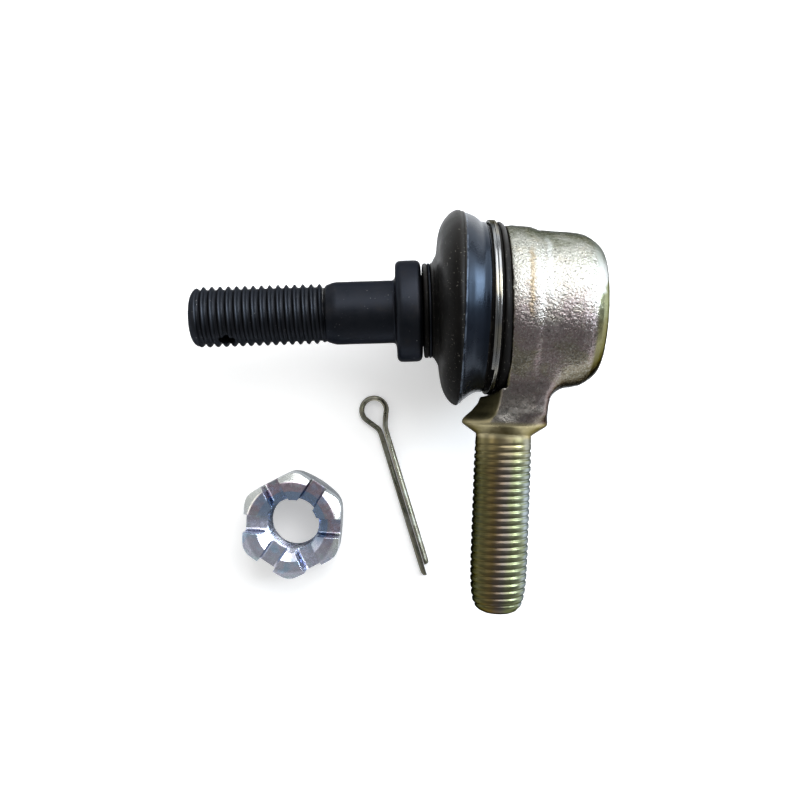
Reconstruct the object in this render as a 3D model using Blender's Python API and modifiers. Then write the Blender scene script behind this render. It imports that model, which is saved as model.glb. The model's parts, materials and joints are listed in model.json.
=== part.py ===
"""Tie rod end with its loose castle nut and cotter pin.

The row frame has its origin at the centre of the cover plate's outer face. +X runs along the housing
axis away from the stud, the threaded rod points along -Y, and +Z is up. The part lies on its boot rim.
Every outline below is written in millimetres, counted from the ball centre.
"""
import math

import bmesh
import bpy
from mathutils import Euler, Matrix, Vector

MM = 0.001

# Driving dimensions, in millimetres
BALL_TO_COVER = 17.6      # ball centre to the cover plate's outer face
BALL_R = 11.0
GAP = 0.3                 # clearance kept between touching pieces
BOOT_RIM_R = 19.5
STUD_THREAD_R = 6.0       # M12 crest
STUD_SHANK_R = 6.25
STUD_COLLAR_R = 10.1
STUD_TIP = 63.5
PIN_HOLE_FROM_TIP = 7.5
PIN_HOLE_R = 1.6
ROD_THREAD_R = 5.7        # M12 fine crest
ROD_TIP = 61.0
EYE_R = 15.5
CAVITY_R = 12.8
RING_CLEARANCE_R = 17.8
NUT_FLATS = 19.8
NUT_HEIGHT = 15.0
NUT_BORE_R = 5.2
SLOT_WIDTH = 3.8
SLOT_DEPTH = 5.5
PIN_SHANK_R = 1.1
PIN_EYE_R = 3.05
PIN_LENGTH = 40.4

# The stud rests slightly swivelled in the horizontal plane, and the boot follows it
REST_SWIVEL = math.radians(3.8)
BOOT_BEND_START = -5.5    # the clamped end of the boot stays on the housing axis
BOOT_BEND_END = -13.5     # the small end of the boot is square to the stud

FLOOR = -BOOT_RIM_R
NUT_CENTRE = (-42.3, -45.8)
NUT_TURN = math.radians(-1.0)
PIN_EYE_TOP = (-27.1, -18.7)
PIN_HEADING = math.radians(-70.9)
PIN_HOLE_TURN = math.radians(34.0)


# ---------------------------------------------------------------- helpers

def clear_scene():
    for item in list(bpy.data.objects):
        bpy.data.objects.remove(item, do_unlink=True)


def new_collection(name):
    group = bpy.data.collections.new(name)
    bpy.context.scene.collection.children.link(group)
    return group


def make_material(name, colour, roughness, metallic):
    material = bpy.data.materials.new(name)
    material.use_nodes = True
    shader = material.node_tree.nodes["Principled BSDF"]
    shader.inputs["Base Color"].default_value = (*colour, 1.0)
    shader.inputs["Roughness"].default_value = roughness
    shader.inputs["Metallic"].default_value = metallic
    return material


def arc(centre, radius, start, end, steps):
    """Points of a circular arc, with its angles in degrees."""
    points = []
    for i in range(steps + 1):
        angle = math.radians(start + (end - start) * i / steps)
        points.append((centre[0] + radius * math.cos(angle), centre[1] + radius * math.sin(angle)))
    return points


def object_from_mesh(name, mesh, group, material=None, parent=None):
    item = bpy.data.objects.new(name, mesh)
    group.objects.link(item)
    if material:
        mesh.materials.append(material)
    if parent:
        item.parent = parent
    return item


def turned(name, outline, closed, group, material=None, parent=None, steps=36):
    """A turned solid about local Z. The outline is (radius, height) from the top down the outer side."""
    mesh = bpy.data.meshes.new(name)
    vertices = [(radius * MM, 0.0, height * MM) for radius, height in outline]
    edges = [(i, i + 1) for i in range(len(outline) - 1)]
    if closed:
        edges.append((len(outline) - 1, 0))
    mesh.from_pydata(vertices, edges, [])
    item = object_from_mesh(name, mesh, group, material, parent)
    screw = item.modifiers.new("Turn", 'SCREW')
    screw.axis = 'Z'
    screw.angle = math.tau
    screw.steps = steps
    screw.render_steps = steps
    screw.use_merge_vertices = True
    screw.merge_threshold = 0.000001
    screw.use_smooth_shade = True
    return item


def point_along_x(item):
    """Turns local Z to +X, the housing axis towards the cover."""
    item.rotation_euler = (0.0, math.pi / 2, 0.0)


def point_along_stud(item):
    """Turns local Z to -X, from the ball towards the stud tip."""
    item.rotation_euler = (0.0, -math.pi / 2, 0.0)


def point_along_rod(item):
    """Turns local Z to -Y, from the housing towards the rod tip."""
    item.rotation_euler = (math.pi / 2, 0.0, 0.0)


def boolean(item, tool, operation):
    step = item.modifiers.new(operation.title(), 'BOOLEAN')
    step.operation = operation
    step.solver = 'EXACT'
    step.object = tool


def hide_tool(tool):
    tool.hide_render = True
    tool.display_type = 'WIRE'


def bake(item):
    """Replaces an object's modifiers with the mesh that they make."""
    graph = bpy.context.evaluated_depsgraph_get()
    mesh = bpy.data.meshes.new_from_object(item.evaluated_get(graph))
    item.modifiers.clear()
    item.data = mesh


def mesh_from_bmesh(name, shape):
    bmesh.ops.recalc_face_normals(shape, faces=shape.faces)
    mesh = bpy.data.meshes.new(name)
    shape.to_mesh(mesh)
    shape.free()
    return mesh


def loft(name, sections):
    """A closed mesh through rings of the same number of points, capped at both ends."""
    shape = bmesh.new()
    rings = [[shape.verts.new(Vector(point) * MM) for point in section] for section in sections]
    for ring, following in zip(rings, rings[1:]):
        count = len(ring)
        for i in range(count):
            j = (i + 1) % count
            shape.faces.new((ring[i], ring[j], following[j], following[i]))
    shape.faces.new(rings[0])
    shape.faces.new(reversed(rings[-1]))
    return mesh_from_bmesh(name, shape)


def smooth_round(item, angle=35.0):
    item.data.shade_smooth()
    item.data.set_sharp_from_angle(angle=math.radians(angle))


# ---------------------------------------------------------------- housing

def neck_section(y, left, right, half_height, squareness):
    """One section of the forged neck: an oval in the XZ plane with squarer sides where it's wide."""
    centre = 2.0 if left > -7.0 else 0.5 * (left + right)
    points = []
    for i in range(28):
        angle = math.tau * i / 28
        cosine, sine = math.cos(angle), math.sin(angle)
        reach = right - centre if cosine > 0 else centre - left
        power = 2.0 / (squareness if cosine > 0 else 2.0)
        x = centre + math.copysign(abs(cosine) ** power * reach, cosine)
        z = math.copysign(abs(sine) ** (2.0 / squareness) * half_height, sine)
        points.append((x, y, z))
    return points


def build_housing(group, tools, material, ball):
    """Forged eye, neck and threaded rod in one piece, with the ball's cavity open at both ends."""
    eye_outline = [
        (11.0, 18.0), (11.8, 18.05), (12.5, 17.8), (13.4, 17.0), (14.3, 15.9), (14.95, 14.7),
        (15.3, 13.2), (EYE_R, 10.0), (15.6, 8.0), (15.75, 5.6), (16.1, 3.8), (16.35, 2.2), (16.4, 0.8),
        (16.2, -0.4), (14.6, -0.5), (14.6, -5.9), (15.3, -6.1), (15.3, -7.0), (14.4, -7.8),
        (13.8, -8.0), (8.0, -8.0), (8.0, 18.0),
    ]
    housing = turned("housing", eye_outline, True, group, material, ball, steps=48)
    point_along_x(housing)

    # y, left edge, right edge, half height, squareness
    stations = [
        (-10.0, -3.5, 13.0, 11.0, 2.6),
        (-12.5, -4.5, 12.5, 9.4, 2.6),
        (-14.5, -4.75, 11.6, 8.6, 2.6),
        (-15.7, -4.75, 10.2, 8.3, 2.6),
        (-16.9, -4.75, 9.1, 8.2, 2.6),
        (-18.7, -4.75, 8.7, 8.2, 2.5),
        (-22.9, -8.0, 8.5, 8.3, 2.1),
        (-23.8, -7.3, 8.3, 8.0, 2.0),
        (-25.3, -5.6, 5.6, 5.6, 2.0),
    ]
    neck = object_from_mesh("neck_body", loft("neck_body", [neck_section(*s) for s in stations]), tools)
    neck.parent = ball

    # Room in front of the neck for the boot and its clamp ring
    clearance_outline = [
        (0.0, -0.45), (RING_CLEARANCE_R, -0.45), (RING_CLEARANCE_R, -12.0), (0.0, -12.0),
    ]
    clearance = turned("ring_clearance_cutter", clearance_outline, False, tools, None, ball, steps=48)
    point_along_x(clearance)
    boolean(neck, clearance, 'DIFFERENCE')
    boolean(housing, neck, 'UNION')

    rod_outline = [
        (0.0, ROD_TIP), (2.2, ROD_TIP), (3.8, 59.9), (4.9, 58.0), (5.6, 55.8), (ROD_THREAD_R, 53.0),
        (ROD_THREAD_R, 27.0), (5.4, 26.0), (5.4, 19.0), (0.0, 19.0),
    ]
    rod = turned("rod_body", rod_outline, False, tools, None, ball, steps=32)
    point_along_rod(rod)
    boolean(housing, rod, 'UNION')

    cavity_outline = [
        (0.0, 19.5), (10.9, 19.5), (10.9, 16.8), (13.1, 16.8), (13.1, 14.6), (CAVITY_R, 14.4),
        (CAVITY_R, -1.5), (10.5, -6.6), (9.6, -6.9), (9.9, -7.6), (10.7, -9.0), (0.0, -9.0),
    ]
    cavity = turned("cavity_cutter", cavity_outline, False, tools, None, ball, steps=48)
    point_along_x(cavity)
    boolean(housing, cavity, 'DIFFERENCE')

    for tool in (neck, rod, cavity, clearance):
        hide_tool(tool)
    return housing


# ---------------------------------------------------------------- ball joint

def build_stud(group, tools, material, stud_axis):
    """Ball, neck, seating collar, shank and thread, with a cross hole for the cotter pin."""
    tip = STUD_TIP
    outline = [
        (0.0, tip), (2.1, tip), (4.0, tip - 0.5), (5.0, tip - 1.3), (5.6, tip - 2.1),
        (STUD_THREAD_R, tip - 3.3), (STUD_THREAD_R, 36.3), (5.7, 35.8), (STUD_SHANK_R, 35.2),
        (STUD_SHANK_R, 22.4),
    ]
    outline += arc((STUD_COLLAR_R - 1.5, 20.9), 1.5, 90, 0, 3)
    outline += arc((STUD_COLLAR_R - 1.2, 18.5), 1.2, 0, -90, 3)
    outline += [(6.5, 17.3), (6.5, 13.8), (5.6, 12.7), (5.2, 11.4), (5.3, 10.4)]
    outline += arc((0.0, 0.0), BALL_R, 59, -65, 16)
    outline.append((0.0, BALL_R * math.sin(math.radians(-65))))
    stud = turned("ball_stud", outline, False, group, material, stud_axis)
    point_along_stud(stud)

    bpy.ops.mesh.primitive_cylinder_add(vertices=20, radius=PIN_HOLE_R * MM, depth=16 * MM)
    hole = bpy.context.object
    hole.name = "pin_hole_cutter"
    move_to(hole, tools)
    hole.parent = stud_axis
    hole.location = (-(tip - PIN_HOLE_FROM_TIP) * MM, 0.0, 0.0)
    hole.rotation_euler = (math.radians(90) - PIN_HOLE_TURN, 0.0, 0.0)
    boolean(stud, hole, 'DIFFERENCE')
    hide_tool(hole)
    return stud


def move_to(item, group):
    for owner in list(item.users_collection):
        owner.objects.unlink(item)
    group.objects.link(item)


def build_seat(group, material, ball):
    """Plastic bearing shell around the front of the ball."""
    inner = BALL_R + GAP
    outer = CAVITY_R - GAP
    outline = [(outer, 3.7), (outer, -1.6), (10.15, -6.25)]
    outline += [(radius, height) for height, radius in arc((0.0, 0.0), inner, 123, 71, 7)]
    seat = turned("ball_seat", outline, True, group, material, ball)
    point_along_x(seat)


def build_pressure_pad(group, material, ball):
    """Rear bearing cup that the spring pushes against the ball."""
    inner = BALL_R + GAP
    outer = CAVITY_R - GAP
    outline = [(3.0, 12.6), (11.6, 12.6), (outer, 11.8), (outer, 4.0)]
    outline += [(radius, height) for height, radius in arc((0.0, 0.0), inner, 69, 16, 7)]
    pad = turned("pressure_pad", outline, True, group, material, ball)
    point_along_x(pad)


def build_spring(group, material, ball):
    """Conical disc spring between the pressure pad and the cover plate."""
    outline = [(5.5, 13.7), (12.0, 14.6), (12.0, 13.8), (5.5, 12.9)]
    spring = turned("preload_spring", outline, True, group, material, ball)
    point_along_x(spring)


def build_cover(group, material, ball):
    """Stepped cover plate, held by the housing's rolled lip."""
    outline = [
        (0.0, BALL_TO_COVER), (10.1, BALL_TO_COVER), (10.4, 17.3), (10.5, 16.5), (12.8, 16.5),
        (12.8, 14.9), (0.0, 14.9),
    ]
    cover = turned("cover_plate", outline, False, group, material, ball)
    point_along_x(cover)


# ---------------------------------------------------------------- boot and its rings

def bend_with_stud(item):
    """Turns the front of the boot about the ball centre, so that its small end is square to the stud."""
    for vertex in item.data.vertices:
        place = item.matrix_basis @ vertex.co
        share = (place.x / MM - BOOT_BEND_START) / (BOOT_BEND_END - BOOT_BEND_START)
        share = min(max(share, 0.0), 1.0)
        share = share * share * (3.0 - 2.0 * share)
        vertex.co = item.matrix_basis.inverted() @ (Matrix.Rotation(REST_SWIVEL * share, 3, 'Z') @ place)


def build_boot(group, material, ball):
    """Rubber boot: clamped bead at the housing, wide rim, flat front and a lip on the stud."""
    outer = [
        (15.0, -0.8), (16.3, -0.8), (17.0, -1.3), (17.15, -2.2), (16.9, -2.6), (16.5, -2.75),
        (16.5, -4.85), (16.95, -5.0), (17.05, -6.0), (17.6, -6.8), (18.1, -7.6), (18.6, -8.4),
        (18.95, -9.2), (BOOT_RIM_R, -10.2), (19.4, -10.8), (18.9, -11.6), (17.9, -12.6), (16.7, -13.5),
        (15.6, -13.9), (13.8, -14.15), (10.1, -14.5), (9.3, -14.8), (8.2, -15.0), (8.2, -16.5), (9.3, -16.7),
        (9.2, -16.95), (6.9, -17.0),
    ]
    inner = [
        (6.8, -15.3), (7.2, -14.2), (9.0, -13.3), (12.5, -12.9), (15.3, -12.3), (17.2, -11.4),
        (17.9, -10.3), (17.2, -8.6), (16.3, -7.0), (15.8, -5.9), (15.0, -5.4),
    ]
    boot = turned("boot", outer + inner, True, group, material, ball, steps=40)
    point_along_x(boot)
    bake(boot)
    bend_with_stud(boot)


def build_clamp_ring(group, material, ball):
    """Flat wire ring that clamps the boot's bead on the housing."""
    outline = [(16.8, -3.05), (17.45, -3.05), (17.45, -4.55), (16.8, -4.55)]
    ring = turned("boot_clamp_ring", outline, True, group, material, ball, steps=48)
    point_along_x(ring)


def build_neck_ring(group, material, stud_axis):
    """Wire ring in the groove of the boot's small end."""
    outline = arc((9.0, 15.75), 0.45, 180, -135, 7)
    ring = turned("boot_neck_ring", outline, True, group, material, stud_axis)
    point_along_stud(ring)


# ---------------------------------------------------------------- loose hardware

def build_castle_nut(group, tools, material, rest):
    """Hexagon with a chamfered crown, a threaded bore and six slots across the flats."""
    corner_r = NUT_FLATS / 2 / math.cos(math.radians(30))
    bpy.ops.mesh.primitive_cylinder_add(vertices=6, radius=corner_r * MM, depth=NUT_HEIGHT * MM)
    nut = bpy.context.object
    nut.name = "castle_nut"
    nut.data.name = "castle_nut"
    move_to(nut, group)
    nut.data.materials.append(material)
    nut.parent = rest
    nut.location = (0.0, 0.0, NUT_HEIGHT / 2 * MM)

    # Everything outside this turned blank is cut away: 30 degree chamfers at the crown and the base
    top = NUT_HEIGHT
    blank_outline = [
        (0.0, top + 0.01), (8.9, top + 0.01), (12.0, top - 1.8), (12.0, 0.9), (10.2, -0.01), (0.0, -0.01),
    ]
    blank = turned("nut_blank", blank_outline, False, tools, None, rest)
    boolean(nut, blank, 'INTERSECT')

    bore_outline = [
        (0.0, top + 1.0), (7.4, top + 1.0), (NUT_BORE_R, top - 1.2), (NUT_BORE_R, 1.2), (7.4, -1.0),
        (0.0, -1.0),
    ]
    bore = turned("nut_bore_cutter", bore_outline, False, tools, None, rest)
    boolean(nut, bore, 'DIFFERENCE')
    hide_tool(blank)
    hide_tool(bore)

    for i in range(3):
        bpy.ops.mesh.primitive_cube_add(size=1.0)
        slot = bpy.context.object
        slot.name = f"slot_cutter_{i + 1}"
        move_to(slot, tools)
        slot.parent = rest
        slot.scale = (30 * MM, SLOT_WIDTH * MM, 2 * SLOT_DEPTH * MM)
        slot.location = (0.0, 0.0, top * MM)
        slot.rotation_euler = (0.0, 0.0, math.radians(60 * i))
        boolean(nut, slot, 'DIFFERENCE')
        hide_tool(slot)
    smooth_round(nut, 25.0)


def pin_path():
    """Centre line of the pin's half round wire, from the long leg's tip round the eye and back.

    The eye's top is at the origin and the legs run along +X. Each point has its normal away from the
    other leg.
    """
    wire = PIN_SHANK_R - 0.06
    offset = 0.06
    eye_r = PIN_EYE_R - wire
    centre_x = PIN_EYE_R
    blend_x = centre_x + 4.6
    points = [(PIN_LENGTH, offset), (PIN_LENGTH - 0.8, offset), (blend_x + 14.0, offset), (blend_x, offset)]
    points += [(blend_x - 1.1, offset + 0.25), (blend_x - 2.2, offset + 1.15)]
    points += arc((centre_x, 0.0), eye_r, 48, 312, 18)
    points += [(blend_x - 2.2, -offset - 1.15), (blend_x - 1.1, -offset - 0.25), (blend_x, -offset)]
    points += [(blend_x + 14.0, -offset), (PIN_LENGTH - 2.6, -offset), (PIN_LENGTH - 1.8, -offset)]
    return points, wire


def build_cotter_pin(group, material, rest):
    """Half round wire bent into an eye and two touching legs."""
    path, wire = pin_path()
    sections = []
    for i, (x, y) in enumerate(path):
        before = Vector(path[max(i - 1, 0)])
        after = Vector(path[min(i + 1, len(path) - 1)])
        along = (after - before).normalized()
        outward = Vector((along.y, -along.x))
        thin = 0.55 if i in (0, len(path) - 1) else 1.0
        section = []
        for k in range(9):
            angle = math.radians(-90 + 180 * k / 8)
            reach = wire * thin * math.cos(angle)
            place = Vector((x, y)) + outward * reach
            section.append((place.x, place.y, wire * thin * math.sin(angle)))
        sections.append(section)
    pin = object_from_mesh("cotter_pin", loft("cotter_pin", sections), group, material, rest)
    smooth_round(pin, 50.0)


# ---------------------------------------------------------------- assembly

def add_empty(name, place, turn, group, parent=None):
    empty = bpy.data.objects.new(name, None)
    group.objects.link(empty)
    empty.location = Vector(place) * MM
    empty.rotation_euler = Euler(turn)
    empty.empty_display_size = 5 * MM
    empty.parent = parent
    return empty


def build_tie_rod_end():
    clear_scene()
    parts = new_collection("tie_rod_end")
    tools = new_collection("cutters")

    zinc = make_material("yellow_zinc", (0.42, 0.36, 0.25), 0.42, 1.0)
    phosphate = make_material("black_phosphate", (0.03, 0.033, 0.04), 0.45, 0.8)
    rubber = make_material("black_rubber", (0.018, 0.017, 0.02), 0.5, 0.0)
    steel = make_material("bright_steel", (0.6, 0.6, 0.58), 0.28, 1.0)
    blue_zinc = make_material("blue_zinc", (0.62, 0.65, 0.7), 0.25, 1.0)
    dull_zinc = make_material("dull_zinc", (0.36, 0.36, 0.32), 0.4, 1.0)
    plastic = make_material("white_plastic", (0.75, 0.73, 0.66), 0.5, 0.0)
    spring_steel = make_material("spring_steel", (0.3, 0.3, 0.32), 0.35, 1.0)

    ball = add_empty("ball_centre", (-BALL_TO_COVER, 0.0, 0.0), (0.0, 0.0, 0.0), parts)
    stud_axis = add_empty("stud_axis", (0.0, 0.0, 0.0), (0.0, 0.0, REST_SWIVEL), parts, ball)
    nut_rest = add_empty("nut_rest", (*NUT_CENTRE, FLOOR), (0.0, 0.0, NUT_TURN), parts, ball)
    pin_height = FLOOR + PIN_SHANK_R - 0.06
    pin_rest = add_empty("pin_rest", (*PIN_EYE_TOP, pin_height), (0.0, 0.0, PIN_HEADING), parts, ball)

    build_housing(parts, tools, zinc, ball)
    build_stud(parts, tools, phosphate, stud_axis)
    build_seat(parts, plastic, ball)
    build_pressure_pad(parts, plastic, ball)
    build_spring(parts, spring_steel, ball)
    build_cover(parts, zinc, ball)
    build_boot(parts, rubber, ball)
    build_clamp_ring(parts, steel, ball)
    build_neck_ring(parts, steel, stud_axis)
    build_castle_nut(parts, tools, blue_zinc, nut_rest)
    build_cotter_pin(parts, dull_zinc, pin_rest)


build_tie_rod_end()
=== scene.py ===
import json
import math

import bmesh
import bpy
import numpy as np
from mathutils import Matrix, Vector, noise


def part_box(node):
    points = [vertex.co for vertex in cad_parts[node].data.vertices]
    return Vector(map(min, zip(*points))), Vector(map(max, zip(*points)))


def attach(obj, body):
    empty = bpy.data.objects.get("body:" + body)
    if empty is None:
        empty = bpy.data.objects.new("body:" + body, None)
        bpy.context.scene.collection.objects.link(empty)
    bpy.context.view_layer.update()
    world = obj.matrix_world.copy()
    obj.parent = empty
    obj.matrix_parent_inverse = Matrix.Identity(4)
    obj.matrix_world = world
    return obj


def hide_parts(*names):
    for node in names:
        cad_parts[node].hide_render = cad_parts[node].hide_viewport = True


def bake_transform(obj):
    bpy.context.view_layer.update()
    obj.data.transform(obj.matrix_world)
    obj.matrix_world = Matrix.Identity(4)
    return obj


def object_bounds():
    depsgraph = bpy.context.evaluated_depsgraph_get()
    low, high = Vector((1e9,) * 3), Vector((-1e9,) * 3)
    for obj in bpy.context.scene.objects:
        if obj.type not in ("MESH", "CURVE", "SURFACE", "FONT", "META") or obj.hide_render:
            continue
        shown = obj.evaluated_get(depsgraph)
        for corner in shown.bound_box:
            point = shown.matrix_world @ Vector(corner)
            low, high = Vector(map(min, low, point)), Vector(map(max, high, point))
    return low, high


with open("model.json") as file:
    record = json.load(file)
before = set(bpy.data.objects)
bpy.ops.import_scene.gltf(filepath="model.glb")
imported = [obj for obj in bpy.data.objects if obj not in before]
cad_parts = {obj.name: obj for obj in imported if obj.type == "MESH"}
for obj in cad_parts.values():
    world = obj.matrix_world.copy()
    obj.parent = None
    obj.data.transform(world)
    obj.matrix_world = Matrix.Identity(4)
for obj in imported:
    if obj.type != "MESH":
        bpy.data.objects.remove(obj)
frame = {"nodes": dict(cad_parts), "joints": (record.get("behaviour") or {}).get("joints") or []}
cad_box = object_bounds()

# Lengths in the shape code are in millimetres, counted from the ball centre, as in the CAD.
MM = 0.001
JOINTS = {joint["name"]: joint for joint in frame["joints"]}
BALL = Vector(JOINTS["swing_direction"]["pos_m"])
HOUSING_AXIS = Vector(JOINTS["swing_direction"]["axis"])
STUD_AXIS = Vector(JOINTS["stud_spin"]["axis"]).normalized()
ROD_AXIS = Vector((0.0, -1.0, 0.0))
UP = Vector((0.0, 0.0, 1.0))
REST_SWIVEL = math.atan2(-STUD_AXIS.y, -STUD_AXIS.x)
FLOOR_Z = cad_box[0][2]

BALL_R = 11.0
STUD_TIP = 63.5
ROD_TIP = 61.0


# ---------------------------------------------------------------- geometry helpers

def along(direction, origin=BALL):
    """Places local Z along a direction and local X as near as possible to straight up."""
    z = Vector(direction).normalized()
    x = (UP - z * UP.dot(z)).normalized() if abs(UP.dot(z)) < 0.99 else Vector((1.0, 0.0, 0.0))
    y = z.cross(x)
    turn = Matrix((x, y, z)).transposed().to_4x4()
    return Matrix.Translation(origin) @ turn @ Matrix.Scale(MM, 4)


def smoothstep(low, high, value):
    share = np.clip((value - low) / (high - low), 0.0, 1.0)
    return share * share * (3.0 - 2.0 * share)


def new_object(name, mesh):
    item = bpy.data.objects.new(name, mesh)
    bpy.context.scene.collection.objects.link(item)
    return item


def mesh_object(name, vertices, faces, sharp=40.0):
    """A closed mesh whose doubled points are merged and whose faces point out."""
    shape = bmesh.new()
    points = [shape.verts.new(co) for co in vertices]
    for face in faces:
        corners = [points[i] for i in dict.fromkeys(face)]
        if len(corners) > 2:
            try:
                shape.faces.new(corners)
            except ValueError:
                pass
    bmesh.ops.remove_doubles(shape, verts=shape.verts, dist=2e-8)
    bmesh.ops.dissolve_degenerate(shape, edges=shape.edges, dist=2e-8)
    bmesh.ops.recalc_face_normals(shape, faces=shape.faces)
    mesh = bpy.data.meshes.new(name)
    shape.to_mesh(mesh)
    shape.free()
    item = new_object(name, mesh)
    shade(item, sharp)
    return item


def shade(item, sharp=40.0):
    item.data.shade_smooth()
    item.data.set_sharp_from_angle(angle=math.radians(sharp))


def apply_modifiers(item):
    graph = bpy.context.evaluated_depsgraph_get()
    mesh = bpy.data.meshes.new_from_object(item.evaluated_get(graph))
    item.modifiers.clear()
    item.data = mesh


def combine(item, tool, operation, solver='EXACT'):
    step = item.modifiers.new("Combine", 'BOOLEAN')
    step.operation = operation
    step.solver = solver
    step.object = tool
    apply_modifiers(item)
    bpy.data.objects.remove(tool, do_unlink=True)


def round_corners(points, radius, steps=4, closed=False):
    """Replaces the corners of an outline by short arcs, as quadratic curves."""
    points = [np.array(p, float) for p in points]
    count = len(points)
    result = []
    for i, corner in enumerate(points):
        if not closed and i in (0, count - 1):
            result.append(corner)
            continue
        before = points[i - 1] - corner
        after = points[(i + 1) % count] - corner
        reach_before = min(radius, 0.45 * np.linalg.norm(before))
        reach_after = min(radius, 0.45 * np.linalg.norm(after))
        first = corner + before / np.linalg.norm(before) * reach_before
        last = corner + after / np.linalg.norm(after) * reach_after
        for k in range(steps + 1):
            t = k / steps
            result.append((1 - t) ** 2 * first + 2 * t * (1 - t) * corner + t ** 2 * last)
    return [tuple(p) for p in result]


def spline(points, per_span=6, closed=False):
    """Catmull-Rom curve through the points."""
    points = np.array(points, float)
    count = len(points)
    spans = count if closed else count - 1
    result = []
    for i in range(spans):
        if closed:
            p0, p1, p2, p3 = (points[(i + k) % count] for k in (-1, 0, 1, 2))
        else:
            p0, p1, p2, p3 = (points[min(max(i + k, 0), count - 1)] for k in (-1, 0, 1, 2))
        for k in range(per_span):
            t = k / per_span
            result.append(0.5 * (2 * p1 + (p2 - p0) * t + (2 * p0 - 5 * p1 + 4 * p2 - p3) * t ** 2
                                 + (3 * p1 - p0 - 3 * p2 + p3) * t ** 3))
    if not closed:
        result.append(points[-1])
    return [tuple(p) for p in result]


def thread_cut(phase, crest, root):
    """Depth share of a thread at a phase from 0 to 1, with a crest and a root of given widths."""
    from_crest = np.abs(phase - np.floor(phase) - 0.5) * 2.0
    flank = np.clip((from_crest - crest) / (1.0 - crest - root), 0.0, 1.0)
    return flank - 0.07 * np.sin(np.pi * 2.0 * flank)


def lathe(name, outline, place, segments=96, thread=None, sharp=40.0):
    """A turned solid. The outline is (height, radius) with rising height and both ends on the axis.

    A thread has a start, an end, a pitch and a depth, and its rows follow the helix.
    """
    heights = np.array([p[0] for p in outline])
    radii = np.array([p[1] for p in outline])
    turn = np.arange(segments) / segments
    rows = [(np.full(segments, h), np.full(segments, r), 0) for h, r in outline]
    if thread:
        start, end = thread["start"], thread["end"]
        pitch, depth = thread["pitch"], thread["depth"]
        samples = thread["samples"]
        step = pitch / samples
        before = [row for row in rows if row[0][0] < start]
        after = [row for row in rows if row[0][0] > end]
        count = int(math.ceil((end - start) / step)) + samples
        rows = before
        fade_in, fade_out = thread["fade"]
        for i in range(count + 1):
            height = np.clip(start - pitch + i * step + pitch * turn, start, end)
            envelope = np.interp(height, heights, radii)
            fade = smoothstep(start, start + fade_in, height)
            fade = fade * (1.0 - smoothstep(end - fade_out, end, height))
            phase = (height - pitch * turn) / pitch
            cut = thread_cut(phase, thread["flat"], thread["root"]) * depth * fade
            radius = np.minimum(envelope, thread["crest"]) - cut
            rows.append((height, radius, min(samples, count - i)))
        rows += after
    angle = math.tau * turn
    vertices = []
    for height, radius, _ in rows:
        ring = np.stack([radius * np.cos(angle), radius * np.sin(angle), height], axis=1)
        vertices += [place @ Vector(point) for point in ring]
    faces = []
    for i in range(len(rows) - 1):
        for j in range(segments):
            if j < segments - 1:
                faces.append((i * segments + j, i * segments + j + 1,
                              (i + 1) * segments + j + 1, (i + 1) * segments + j))
            else:
                here = min(i + rows[i][2], len(rows) - 1)
                there = min(i + 1 + rows[i + 1][2], len(rows) - 1)
                faces.append((i * segments + j, here * segments, there * segments,
                              (i + 1) * segments + j))
    return mesh_object(name, vertices, faces, sharp)


def loop_faces(loops, size, closed):
    """Quads between loops of equal point counts, and from the last back to the first if closed."""
    faces = []
    for i in range(loops if closed else loops - 1):
        k = (i + 1) % loops
        for j in range(size):
            n = (j + 1) % size
            faces.append((i * size + j, i * size + n, k * size + n, k * size + j))
    return faces


def ring_lathe(name, outline, place, segments=128, sharp=40.0, bend=None):
    """A turned ring from a closed outline of (height, radius)."""
    vertices = []
    for height, radius in outline:
        for j in range(segments):
            angle = math.tau * j / segments
            point = Vector((radius * math.cos(angle), radius * math.sin(angle), height))
            if bend:
                point = bend(point, angle)
            vertices.append(place @ point)
    return mesh_object(name, vertices, loop_faces(len(outline), segments, True), sharp)


def sweep(name, sections, place, closed=False, sharp=40.0):
    """A tube through sections of equal point counts, capped unless it's closed."""
    size = len(sections[0])
    vertices = [place @ Vector(point) for section in sections for point in section]
    faces = loop_faces(len(sections), size, closed)
    if not closed:
        faces.append(tuple(range(size)))
        faces.append(tuple(range((len(sections) - 1) * size, len(sections) * size)))
    return mesh_object(name, vertices, faces, sharp)


# ---------------------------------------------------------------- implicit solids

def polygon_distance(outline, u, v):
    """Signed distance from points (u, v) to a closed outline, negative inside."""
    nearest = np.full(u.shape, np.inf)
    inside = np.zeros(u.shape, bool)
    count = len(outline)
    for i in range(count):
        au, av = outline[i]
        bu, bv = outline[(i + 1) % count]
        eu, ev = bu - au, bv - av
        t = np.clip(((u - au) * eu + (v - av) * ev) / (eu * eu + ev * ev), 0.0, 1.0)
        nearest = np.minimum(nearest, (u - au - eu * t) ** 2 + (v - av - ev * t) ** 2)
        crosses = (av > v) != (bv > v)
        if ev != 0.0:
            inside ^= crosses & (u < au + eu * (v - av) / ev)
    return np.where(inside, -1.0, 1.0) * np.sqrt(nearest)


def smooth_min(a, b, width):
    share = np.clip(0.5 + 0.5 * (b - a) / width, 0.0, 1.0)
    return b + (a - b) * share - width * share * (1.0 - share)


def smooth_max(a, b, width):
    return -smooth_min(-a, -b, width)


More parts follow.
